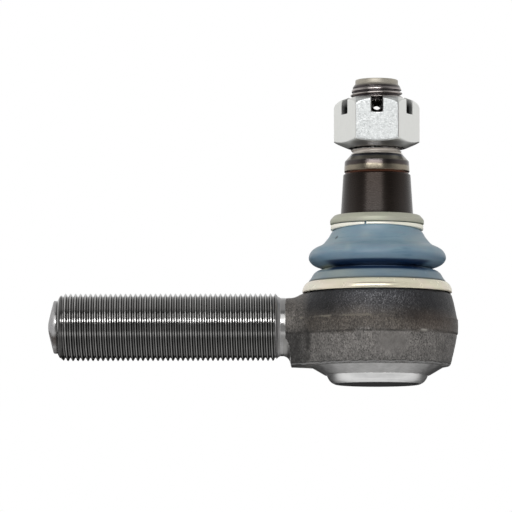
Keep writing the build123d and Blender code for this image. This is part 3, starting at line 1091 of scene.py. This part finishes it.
major, minor = 14.2875, 14.2875 - 0.6134 * P
shank = turned(
    "shank_thread",
    [
        (-139.35, 0.0),
        (-139.3, 1.2),
        (-139.15, 2.2),
        (-138.6, 4.6),
        (-137.5, 8.8),
        (-137.0, 10.7),
        (-136.8, 11.05),
        (-136.6, 11.2),
        (-135.5, 11.2),
    ],
    {
        "first": -135.3,
        "last": -41.0,
        "pitch": P,
        "phase": -134.6 - 2 * P,
        "shape": vee_shape(P, major, minor),
        "limit": shank_limit,
    },
    [(-40.6, 12.35), (-39.3, 12.35), (-38.85, 12.33), (-38.6, 12.2), (-38.5, 11.9), (-36.5, 11.5), (-36.5, 0.0)],
    segs=SEG,
    along="x",
)
sv = np.zeros(len(shank.data.vertices) * 3, np.float32)
shank.data.vertices.foreach_get("co", sv)
sv = sv.reshape(-1, 3) / MM
sr = np.hypot(sv[:, 1], sv[:, 2])
in_thread = (sv[:, 0] > -135.3) & (sv[:, 0] < -42.2)
attribute(shank, "root", np.where(in_thread, np.clip((major - sr) / (major - minor), 0, 1), 0.12))
ang = np.degrees(np.arctan2(sv[:, 2], -sv[:, 1]))  # 0 at the front, up is positive
nose = sv[:, 0] < -136.0
# a brown stain on the nose and dark pits at its tip, and painted shade along the lower side of the nose and thread
# start
stain_and_shade = np.exp(-(((ang + 36) / 17) ** 4)) * (sv[:, 0] < -135.4) * (sv[:, 0] > -138.7)
stain_and_shade = np.maximum(stain_and_shade, 0.75 * step(ang, -50, -58) * (sv[:, 0] < -134.4) * (ang > -120))
stain_and_shade = np.maximum(stain_and_shade, 0.55 * np.exp(-((sr - 2.6) / 1.2) ** 2) * (sv[:, 0] < -138.4) * (noise3(sv, 1.1) > 0.15))
attribute(shank, "stain_and_shade", np.clip(stain_and_shade, 0, 1))
runout = (sv[:, 0] > -43.1) & (sv[:, 0] < -40.9)
attribute(shank, "raw", np.maximum(nose, 0.5 * runout))
lift = np.degrees(np.arcsin(np.clip(sv[:, 2] / np.maximum(sr, 1e-6), -1, 1)))
# painted light and shade on the thread: darker on its lower side, a little lighter on its upper side
lit_above_shaded_below = 1 - 0.42 * step(lift, -17, -25) + 0.12 * step(lift, 20, 32)
attribute(shank, "lit_above_shaded_below", np.where(in_thread, lit_above_shaded_below, 1.0))
lump = nose & (sr > 0.2)
push = noise3(sv, 1.3) * 0.04 * lump
sv[:, 0] += push
shank.data.vertices.foreach_set("co", (sv * MM).astype(np.float32).ravel())
shank.data.update()
dress(shank, shank_material(), "forged_steel", "housing", "housing")

# ------------------------------------------------------------------ ball stud
Q = 25.4 / 14
BAND = 14.27 + (64.5 - 48.0) / 16
smaj, smin = 11.1125, 11.1125 - 0.6134 * Q
ball = [(17.5 * math.cos(a), 17.5 * math.sin(a)) for a in np.linspace(-1.2449, 0.9625, 30)]


def stud_limit(z):
    return float(
        np.interp(
            z,
            [73.6, 74.3, 75.2, 98.4, 100.9, 102.4, 103.3],
            [9.95, 10.5, 11.1125, 11.1125, 10.5, 9.85, 9.06],
        )
    )


start = [(-16.58, 0.0)] + [(z, rr) for rr, z in ball]
start += [
    (15.2, 10.0),
    (21.5, 10.0),
    (23.5, 10.25),
    (25.2, 10.6),
    (27.0, 11.2),
    (28.6, 12.0),
    (37.2, BAND - 0.1),
    (37.6, BAND),
    (48.0, BAND),
    (48.5, BAND - 0.5 / 16),
    (64.05, 14.27 + 0.45 / 16),
    (64.35, 14.28),
    (64.52, 14.18),
    (64.8, 13.75),
    (65.0, 13.46),
    (65.45, 13.46),
    (65.6, 13.56),
    (65.8, 13.80),
    (65.95, 13.86),
    (66.2, 13.87),
    (68.0, 13.77),
    (70.05, 13.64),
    (70.25, 13.58),
    (70.45, 13.40),
    (72.85, 11.25),
    (73.1, 11.02),
    (73.35, 10.95),
    (73.5, 10.9),
]
stud = turned(
    "stud_body",
    start,
    {
        "first": 73.6,
        "last": 103.3,
        "pitch": Q,
        "phase": 74.0 - 2 * Q,
        "shape": vee_shape(Q, smaj, smin),
        "limit": stud_limit,
    },
    [(103.55, 9.06), (104.7, 9.06), (104.95, 8.97), (105.08, 8.75), (105.1, 8.5), (105.1, 0.0)],
    segs=144,
    along="z",
)


def cut(ob, cutter):
    m = ob.modifiers.new("cut", "BOOLEAN")
    m.operation = "DIFFERENCE"
    m.solver = "EXACT"
    m.object = cutter
    bpy.context.view_layer.update()
    dg = bpy.context.evaluated_depsgraph_get()
    me = bpy.data.meshes.new_from_object(ob.evaluated_get(dg))
    ob.modifiers.clear()
    old = ob.data
    ob.data = me
    bpy.data.meshes.remove(old)
    bpy.data.objects.remove(cutter)
    for p in ob.data.polygons:
        p.use_smooth = True


drill = lathe("drill", [(0.0, -20.0), (1.985, -20.0), (1.985, 20.0), (0.0, 20.0)], segs=40)
for v in drill.data.vertices:
    x, y, z = v.co
    v.co = (x, -z, y + 93.2 * MM)
cut(stud, drill)
stud.data.set_sharp_from_angle(angle=math.radians(38))
tv = np.zeros(len(stud.data.vertices) * 3, np.float32)
stud.data.vertices.foreach_get("co", tv)
tv = tv.reshape(-1, 3) / MM
tr = np.hypot(tv[:, 0], tv[:, 1])
attribute(stud, "root", np.where((tv[:, 2] > 74.2) & (tv[:, 2] < 103.3), np.clip((smaj - tr) / (smaj - smin), 0, 1), 0.1))
bored = (np.hypot(tv[:, 0], tv[:, 2] - 93.2) < 2.03) & (tr < smaj - 0.35)
attribute(stud, "hole", bored.astype(float))
dress(stud, stud_material(), "stud_steel", "stud", "ball_stud")

# ------------------------------------------------------------------ castle nut
AF, NB, NTOP = 31.75 / 2, 75.85, 97.3


def nut_field(x, y, z):
    hexa = np.maximum(
        np.abs(y),
        np.maximum(
            np.abs(y * 0.5 + x * math.sqrt(3) / 2), np.abs(y * 0.5 - x * math.sqrt(3) / 2)
        ),
    )
    flats = [np.abs(y), np.abs(y * 0.5 + x * math.sqrt(3) / 2), np.abs(y * 0.5 - x * math.sqrt(3) / 2)]
    side = smooth_max(smooth_max(flats[0], flats[1], 0.5), flats[2], 0.5) - AF
    r = np.sqrt(x * x + y * y)
    dome = np.interp(r, [0, 12.0, 16.0, 17.5, 18.53], [97.3, 97.3, 95.8, 94.7, 92.9])
    top = (z - dome) * 0.85
    bot = (NB - z) * 0.917 + (r - 12.2) * 0.398
    body = smooth_max(side, top, 0.4)
    body = smooth_max(body, bot, 0.35)
    body = smooth_max(body, z - NTOP, 0.25)
    body = smooth_max(body, NB - z, 0.25)
    # countersinks lead the thread in at both ends
    bore = np.maximum(11.172, np.maximum(11.75 - 0.9 * (z - NB), 12.35 - 0.9 * (NTOP - z)))
    body = smooth_max(body, (bore - r) * 0.8, 0.15)
    for a in (0, 60, 120):
        c, s = math.cos(math.radians(a)), math.sin(math.radians(a))
        across = np.abs(x * c + y * s)
        slot = smooth_max(across - 2.38, 89.8 - z, 1.3)
        body = smooth_max(body, -slot, 0.3)
    return body


nut, nv = skin(
    "nut_body",
    nut_field,
    (-19.2, -16.8, 74.3),
    (19.2, 16.8, 98.2),
    0.27,
    settle=4,
)
nr = np.hypot(nv[:, 0], nv[:, 1])
nn = np.zeros(len(nut.data.vertices) * 3, np.float32)
nut.data.vertices.foreach_get("normal", nn)
nn = nn.reshape(-1, 3)
# painted shade inside the slots, deepest low down, and in the bore; out on the flats the plating is clean
deep = np.zeros(len(nv))
for a in (0, 60, 120):
    c, s = math.cos(math.radians(a)), math.sin(math.radians(a))
    near = np.abs(nv[:, 0] * c + nv[:, 1] * s) < 2.62
    deep = np.maximum(deep, near & (nv[:, 2] > 89.6) & (nr < 18.0))
rim = step(nr, 17.2, 14.2) * deep
rim = np.maximum(rim, deep * 0.85 * (np.abs(nn[:, 2]) < 0.9))
rim *= np.where(np.abs(nv[:, 0]) < 2.7, 1.0, np.where(nv[:, 0] > 0, 0.58, 0.30) + np.where(nv[:, 0] > 0, 0.42, 0.70) * step(nv[:, 2], 96.4, 92.6))
attribute(nut, "inner", np.maximum(rim, (nr < 12.2) & (nv[:, 2] < 97.0) & (nn[:, 2] > -0.95)))
# painted shade under the nut: on the bottom chamfer in front and behind, and low on the front and back flats
shade = step(nv[:, 2] - 0.434 * (nr - 12.2), NB + 0.9, NB - 0.2) * (nn[:, 2] < -0.3) * step(nv[:, 2], 78.4, 77.2)
low_flat_shade = 0.42 * step(nv[:, 2], 79.2, 77.5) * (nn[:, 2] > -0.3) * (nv[:, 2] < 80) * (np.abs(nn[:, 1]) > 0.8)
facing = step(np.abs(np.arctan2(nv[:, 0], np.abs(nv[:, 1]))), 0.95, 0.52)
attribute(nut, "under", np.clip(np.maximum(shade * facing, low_flat_shade * (0.8 + 0.4 * noise3(nv, 1.2))), 0, 1))
flat = (np.abs(nv[:, 1]) > 15.6) & (np.abs(nn[:, 1]) > 0.97)
flat = np.maximum(flat, 0.8 * (np.abs(nn[:, 1]) > 0.12) * (np.abs(nv[:, 0]) < 9.0) * (nv[:, 2] > 91) * (nr > 12.4) * (deep < 0.5))
attribute(nut, "flat", flat)
dress(nut, zinc_material(), "nut_zinc", "nut", "castle_nut")

# ------------------------------------------------------------------ dust boot
neck_side = [(18.2, 43.1), (18.25, 41.2), (18.7, 40.6), (19.3, 39.9), (19.7, 39.3), (20.4, 38.0)]
neck_front = [(18.2, 43.1), (19.2, 42.15), (19.6, 41.75), (19.75, 41.2), (19.85, 40.4), (20.4, 38.6)]
flank = [
        (21.2, 37.0),
        (21.9, 36.1),
        (22.7, 35.2),
        (23.9, 34.4),
        (25.7, 33.6),
        (27.2, 32.7),
        (28.1, 31.8),
        (28.7, 30.8),
        (29.03, 29.7),
        (29.0, 28.6),
        (28.5, 27.6),
        (27.7, 26.7),
        (26.5, 25.9),
        (24.8, 25.25),
        (23.2, 24.8),
        (22.3, 24.55),
        (22.3, 24.35),
        (23.3, 24.2),
        (24.5, 23.9),
        (25.8, 23.3),
        (26.8, 22.45),
        (27.4, 21.6),
        (27.85, 20.75),
        (28.4, 19.95),
        (28.9, 19.35),
        (28.98, 19.05),
        (28.7, 18.87),
        (28.2, 18.84),
]
outer = catmull(neck_side + flank, 4)
outer_front = catmull(neck_front + flank, 4)
inner = [
    (23.8, 14.7),
    (23.8, 19.3),
    (24.6, 20.4),
    (25.3, 21.0),
    (24.9, 21.6),
    (23.9, 22.2),
    (22.2, 22.6),
    (20.6, 23.3),
    (20.2, 24.4),
    (20.7, 25.6),
    (22.5, 26.6),
    (24.5, 27.2),
    (26.0, 27.9),
    (26.8, 28.8),
    (26.9, 29.8),
    (26.3, 30.9),
    (24.9, 31.9),
    (23.0, 32.7),
    (21.4, 33.8),
    (20.2, 35.1),
    (19.0, 36.6),
    (17.9, 38.2),
    (16.8, 39.2),
    (BAND + 0.15, 39.9),
]
lip = [(BAND + 0.12, 45.8), (18.4, 45.8), (18.4, 43.4)]
foot = [(27.3, 18.84), (27.3, 14.7)]
outline = lip + [tuple(p) for p in outer] + foot + inner
# in front the rubber rides up over the lower edge of the clip
outline_front = lip + [tuple(p) for p in outer_front] + foot + inner


def boot_bend(r, z, t):
    """Rubber is never perfectly round: a slow waviness, strongest on the fold."""
    k = math.exp(-(((z - 29) / 4.5) ** 2))
    return r + k * (0.10 * math.sin(3 * t + 0.6) + 0.05 * math.sin(7 * t + 1.9)), z


boot = lathe("boot_skin", outline, segs=200, sharp=60, bend=boot_bend, front=outline_front)
keep_rest(boot)
bv = np.zeros(len(boot.data.vertices) * 3, np.float32)
boot.data.vertices.foreach_get("co", bv)
bv = bv.reshape(-1, 3) / MM
br = np.hypot(bv[:, 0], bv[:, 1])
bz = bv[:, 2]
bt = np.arctan2(bv[:, 0], -bv[:, 1])
fold = step(bz, 27.3, 26.5) * step(bz, 22.35, 23.1)
# painted shade in the fold, full in front and faint towards the sides and back
fold *= 0.16 + 0.84 * step(np.abs(bt), 1.02, 0.80)
attribute(boot, "fold", np.clip(fold, 0, 1) * 0.97)
# painted shade on the lower, downward-facing half of the lobe
attribute(boot, "low", step(bz, 30.8, 29.2))
bloom = step(bz, 23.1, 22.2) * (0.55 + 0.45 * noise3(bv, 6.0))
# painted highlight: a thin light line along the crease, in front
attribute(boot, "crease", np.exp(-(((bz - 24.22) / 0.17) ** 2)) * np.exp(-((bt / 0.42) ** 4)))
bloom *= 0.75 + 0.5 * step(bt, 0.3, -0.8)
attribute(boot, "bloom", np.clip(bloom, 0, 1))
attribute(boot, "rim", step(bz, 19.7, 19.3))
patch = np.zeros(len(bv))
for px, pz, sx, sz in ((-12.4, 32.6, 1.2, 2.2), (19.0, 33.6, 3.6, 1.4), (17.0, 36.0, 3.4, 2.2), (-5.0, 37.5, 2.6, 1.6), (-17.5, 36.0, 4.2, 2.4)):
    patch = np.maximum(patch, np.exp(-(((bv[:, 0] - px) / sx) ** 2) - ((bz - pz) / sz) ** 2))
attribute(boot, "patch", patch * (bv[:, 1] < 0))
straw = np.exp(-(((bv[:, 0] + 21.5) / 3.0) ** 2)) * (bv[:, 1] < 0) * step(bz, 25.6, 24.8) * step(bz, 22.6, 23.4)
straw = np.maximum(straw, 0.35 * np.exp(-(((bv[:, 0] + 15.0) / 6.0) ** 2)) * (bv[:, 1] < 0) * (bz < 23.6))
attribute(boot, "straw", straw)
scuff = np.exp(-(((bv[:, 0] - 18.0) / 3.4) ** 4)) * (bv[:, 1] < 0) * step(bz, 25.9, 25.0) * step(bz, 20.9, 21.6)
attribute(boot, "scuff", scuff)
spot = np.hypot((bt + 0.94) * br, bz - 36.9)
attribute(boot, "dot", np.clip(1.6 * np.exp(-((spot / 0.66) ** 4)), 0, 1))
boot.data.materials.clear()
boot.data.materials.append(boot_material())
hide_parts("boot")
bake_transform(boot)

# ------------------------------------------------------------------ pressed rings
collar = lathe(
    "collar_ring",
    rounded(
        [
            (BAND + 0.07, 46.1),
            (BAND + 0.07, 47.24),
            (18.1, 47.24),
            (19.88, 45.3),
            (19.88, 43.4),
            (18.7, 43.4),
            (18.7, 46.1),
        ],
        [0.1, 0.25, 1.0, 1.6, 0.45, 0.2, 0.3],
        5,
    ),
    segs=160,
)
dress(collar, plated_material("collar_plating", (0.44, 0.455, 0.385), 0.48, 0.35), "plated_ring", "boot_collar", "boot_upper_collar")

clip_outline = rounded(
    [(18.42, 40.9), (18.42, 43.1), (19.62, 43.1), (19.62, 40.9)], [0.3, 0.3, 0.75, 0.75], 5
)


def open_ring(name, outline, gap_at, gap, segs=200):
    """A ring with a small gap, its two ends closed."""
    outline = np.asarray(outline)
    n = len(outline)
    r0 = outline[:, 0].mean()
    half = gap / r0 / 2
    verts = []
    for j in range(segs + 1):
        t = gap_at + half + (TAU - 2 * half) * j / segs
        f = max(0.0, -math.sin(t)) ** 2
        for rr, zz in outline:
            low = 1.15 * f * max(0.0, (42.6 - zz) / 1.7)
            verts.append((rr * math.cos(t), rr * math.sin(t), zz + low))
    faces = []
    for j in range(segs):
        for i in range(n):
            k = (i + 1) % n
            faces.append((j * n + i, j * n + k, (j + 1) * n + k, (j + 1) * n + i))
    faces.append(tuple(range(n)))
    faces.append(tuple(reversed(range(segs * n, segs * n + n))))
    ob = make(name, verts, faces)
    bm = bmesh.new()
    bm.from_mesh(ob.data)
    bmesh.ops.recalc_face_normals(bm, faces=bm.faces)
    bm.to_mesh(ob.data)
    bm.free()
    ob.data.set_sharp_from_angle(angle=math.radians(40))
    return ob


clip = open_ring("clip_ring", clip_outline, math.atan2(-18.9, -5.1), 0.9)
dress(clip, plated_material("clip_plating", (0.97, 0.97, 0.89), 0.42, 0.35), "plated_ring", "boot_collar", "boot_upper_clip")

ring_outer = catmull(
    [
        (27.42, 18.5),
        (27.6, 18.74),
        (28.4, 18.78),
        (29.3, 18.76),
        (29.65, 18.68),
        (29.95, 18.48),
        (30.5, 17.95),
        (31.0, 17.25),
        (31.4, 16.4),
        (31.62, 15.6),
        (31.68, 14.9),
        (31.55, 14.45),
        (31.2, 14.36),
    ],
    7,
)
ring = lathe(
    "lower_ring",
    [tuple(p) for p in ring_outer] + [(30.62, 14.38), (30.5, 15.7), (29.9, 16.7), (28.9, 17.5), (28.0, 17.95), (27.42, 18.1)],
    segs=200,
    sharp=35,
)
rv = np.zeros(len(ring.data.vertices) * 3, np.float32)
ring.data.vertices.foreach_get("co", rv)
rv = rv.reshape(-1, 3) / MM
# painted reflection: brown lines above and below the ring's highlight, front centre only
wide = np.exp(-(((rv[:, 0] + 1.0) / 9.5) ** 4))
lines = np.exp(-(((rv[:, 2] - 16.45) / 0.28) ** 4)) + np.exp(-(((rv[:, 2] - 14.95) / 0.26) ** 4))
attribute(ring, "lines", np.clip(lines * wide * (rv[:, 1] < 0), 0, 1))
dress(ring, plated_material("ring_plating", (0.77, 0.74, 0.635), 0.24, 0.28, 0.8), "plated_ring", "housing", "boot_lower_ring")

# ------------------------------------------------------------------ end cap
cap_side = catmull(
    [
        (16.4, -24.5),
        (17.3, -24.46),
        (18.0, -24.32),
        (18.75, -23.98),
        (19.6, -23.4),
        (20.35, -22.6),
        (20.95, -21.6),
        (21.35, -20.6),
        (21.55, -19.7),
        (21.62, -18.7),
    ],
    4,
)
cap = lathe(
    "cap_dish",
    [(0.0, -24.5), (8.0, -24.5), (13.0, -24.5)]
    + [tuple(p) for p in cap_side]
    + [
        (24.9, -16.75),
        (24.93, -15.0),
        (22.45, -12.52),
        (19.0, -12.52),
        (19.0, -18.4),
        (18.5, -20.0),
        (17.6, -21.3),
        (16.0, -22.1),
        (0.0, -22.1),
    ],
    segs=160,
    sharp=35,
)
dress(cap, cap_material(), "cap_steel", "housing", "end_cap")

# ------------------------------------------------------------------ sealed inner pieces keep their CAD shape
inside = {
    "upper_ball_seat": plain_material("seat_upper", (0.84, 0.83, 0.78), (0.76, 0.75, 0.70), 0.4, 0.0),
    "lower_ball_seat": plain_material("seat_lower", (0.84, 0.83, 0.78), (0.76, 0.75, 0.70), 0.4, 0.0),
    "preload_spring": plain_material("spring_blue", (0.22, 0.22, 0.24), (0.12, 0.12, 0.15), 0.3, 1.0),
    "cap_o_ring": plain_material("seal_black", (0.035, 0.035, 0.035), (0.02, 0.02, 0.02), 0.5, 0.0),
}
for node, mat in inside.items():
    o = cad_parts[node]
    o.data.materials.clear()
    o.data.materials.append(mat)
    for p in o.data.polygons:
        p.use_smooth = True
    o.data.set_sharp_from_angle(angle=math.radians(30))

# ------------------------------------------------------------------ floor, light and camera
FLOOR = -0.30
me = bpy.data.meshes.new("floor")
me.from_pydata([(-6, -6, FLOOR), (6, -6, FLOOR), (6, 6, FLOOR), (-6, 6, FLOOR)], [], [(0, 1, 2, 3)])
floor = bpy.data.objects.new("floor", me)
bpy.context.scene.collection.objects.link(floor)
fmat, fnt, fb = new_material("floor_white")
fb.inputs["Base Color"].default_value = (0.86, 0.86, 0.86, 1)
fb.inputs["Roughness"].default_value = 0.9
me.materials.append(fmat)
floor.visible_glossy = False

scene = bpy.context.scene
scene.view_settings.view_transform = "Standard"
scene.view_settings.look = "None"
world = bpy.data.worlds.new("studio")
scene.world = world
world.use_nodes = True
wt = world.node_tree
wt.nodes.clear()
w = Graph(wt)
out = w.node("ShaderNodeOutputWorld")
white = w.node("ShaderNodeBackground")
white.inputs["Color"].default_value = (1, 1, 1, 1)
white.inputs["Strength"].default_value = 1.0
room = w.node("ShaderNodeBackground")
d = w.xyz(w.node("ShaderNodeTexCoord").outputs["Generated"])
back = w.math("MULTIPLY", d["Y"], -1.0)
# 0 straight ahead of the object's front, a quarter up, a half behind, and negative below
lift = w.math("DIVIDE", w.math("ARCTAN2", d["Z"], back), math.pi)
around = w.math("DIVIDE", w.math("ARCTAN2", d["X"], back), math.pi)
tone = w.ramp(
    w.math("ADD", w.math("MULTIPLY", lift, 0.5), 0.5),
    [
        (0.000, 0.04),
        (0.090, 0.04),
        (0.130, 0.60),
        (0.250, 0.78),
        (0.395, 0.55),
        (0.419, 1.00),
        (0.431, 0.95),
        (0.445, 0.34),
        (0.487, 0.38),
        (0.518, 0.22),
        (0.545, 0.15),
        (0.600, 0.13),
        (0.650, 0.14),
        (0.700, 0.50),
        (0.880, 0.66),
        (0.960, 0.95),
        (1.000, 0.95),
    ],
)
sides = w.math("ABSOLUTE", around)
flank = w.span(sides, 0.25, 0.50)
level = w.math("ABSOLUTE", w.math("ARCSINE", d["Z"]))
near = w.span(level, 0.75, 0.35)
from_back = w.span(sides, 0.70, 0.85, -0.06, 0.015)
above = w.span(w.math("SUBTRACT", d["Z"], from_back), 0.0, 0.08)
flank = w.math("MULTIPLY", w.math("MULTIPLY", flank, near), above)
mixed = w.mix(flank, tone, (0.92, 0.92, 0.92))
wt.links.new(mixed, room.inputs["Color"])
room.inputs["Strength"].default_value = 1.0
pick = w.node("ShaderNodeMixShader")
wt.links.new(w.node("ShaderNodeLightPath").outputs["Is Camera Ray"], pick.inputs[0])
wt.links.new(room.outputs[0], pick.inputs[1])
wt.links.new(white.outputs[0], pick.inputs[2])
wt.links.new(pick.outputs[0], out.inputs["Surface"])


def softbox(name, azimuth, elevation, distance, wide, tall, power, centre=(-0.03, 0, 0.03), colour=(1, 1, 1)):
    data = bpy.data.lights.new(name, "AREA")
    data.shape = "RECTANGLE"
    data.size, data.size_y = wide, tall
    data.energy = power
    data.color = colour
    ob = bpy.data.objects.new(name, data)
    a, e = math.radians(azimuth), math.radians(elevation)
    way = Vector((math.sin(a) * math.cos(e), -math.cos(a) * math.cos(e), math.sin(e)))
    ob.location = Vector(centre) + way * distance
    ob.rotation_mode = "QUATERNION"
    ob.rotation_quaternion = way.to_track_quat("Z", "Y")
    ob.visible_camera = False
    scene.collection.objects.link(ob)
    return ob


# the key: a wide, low strip in front and above, a little to the left
softbox("key_strip", -10, 20.4, 3.0, 2.9, 0.44, 45)
softbox("upper_panel", -10, 38, 3.0, 2.9, 1.15, 15)

cam_data = bpy.data.cameras.new("camera")
cam_data.sensor_width = 36
cam_data.lens = 281.0
cam_data.clip_start, cam_data.clip_end = 0.05, 50
cam = bpy.data.objects.new("camera", cam_data)
scene.collection.objects.link(cam)
aim = Vector((-0.0513, 0, 0.0302))
yaw, tilt, reach = math.radians(1.1), math.radians(-4.9), 1.694
way = Vector((math.sin(yaw) * math.cos(tilt), -math.cos(yaw) * math.cos(tilt), math.sin(tilt)))
cam.location = aim + way * reach
cam.rotation_mode = "QUATERNION"
cam.rotation_quaternion = way.to_track_quat("Z", "Y")
scene.camera = cam
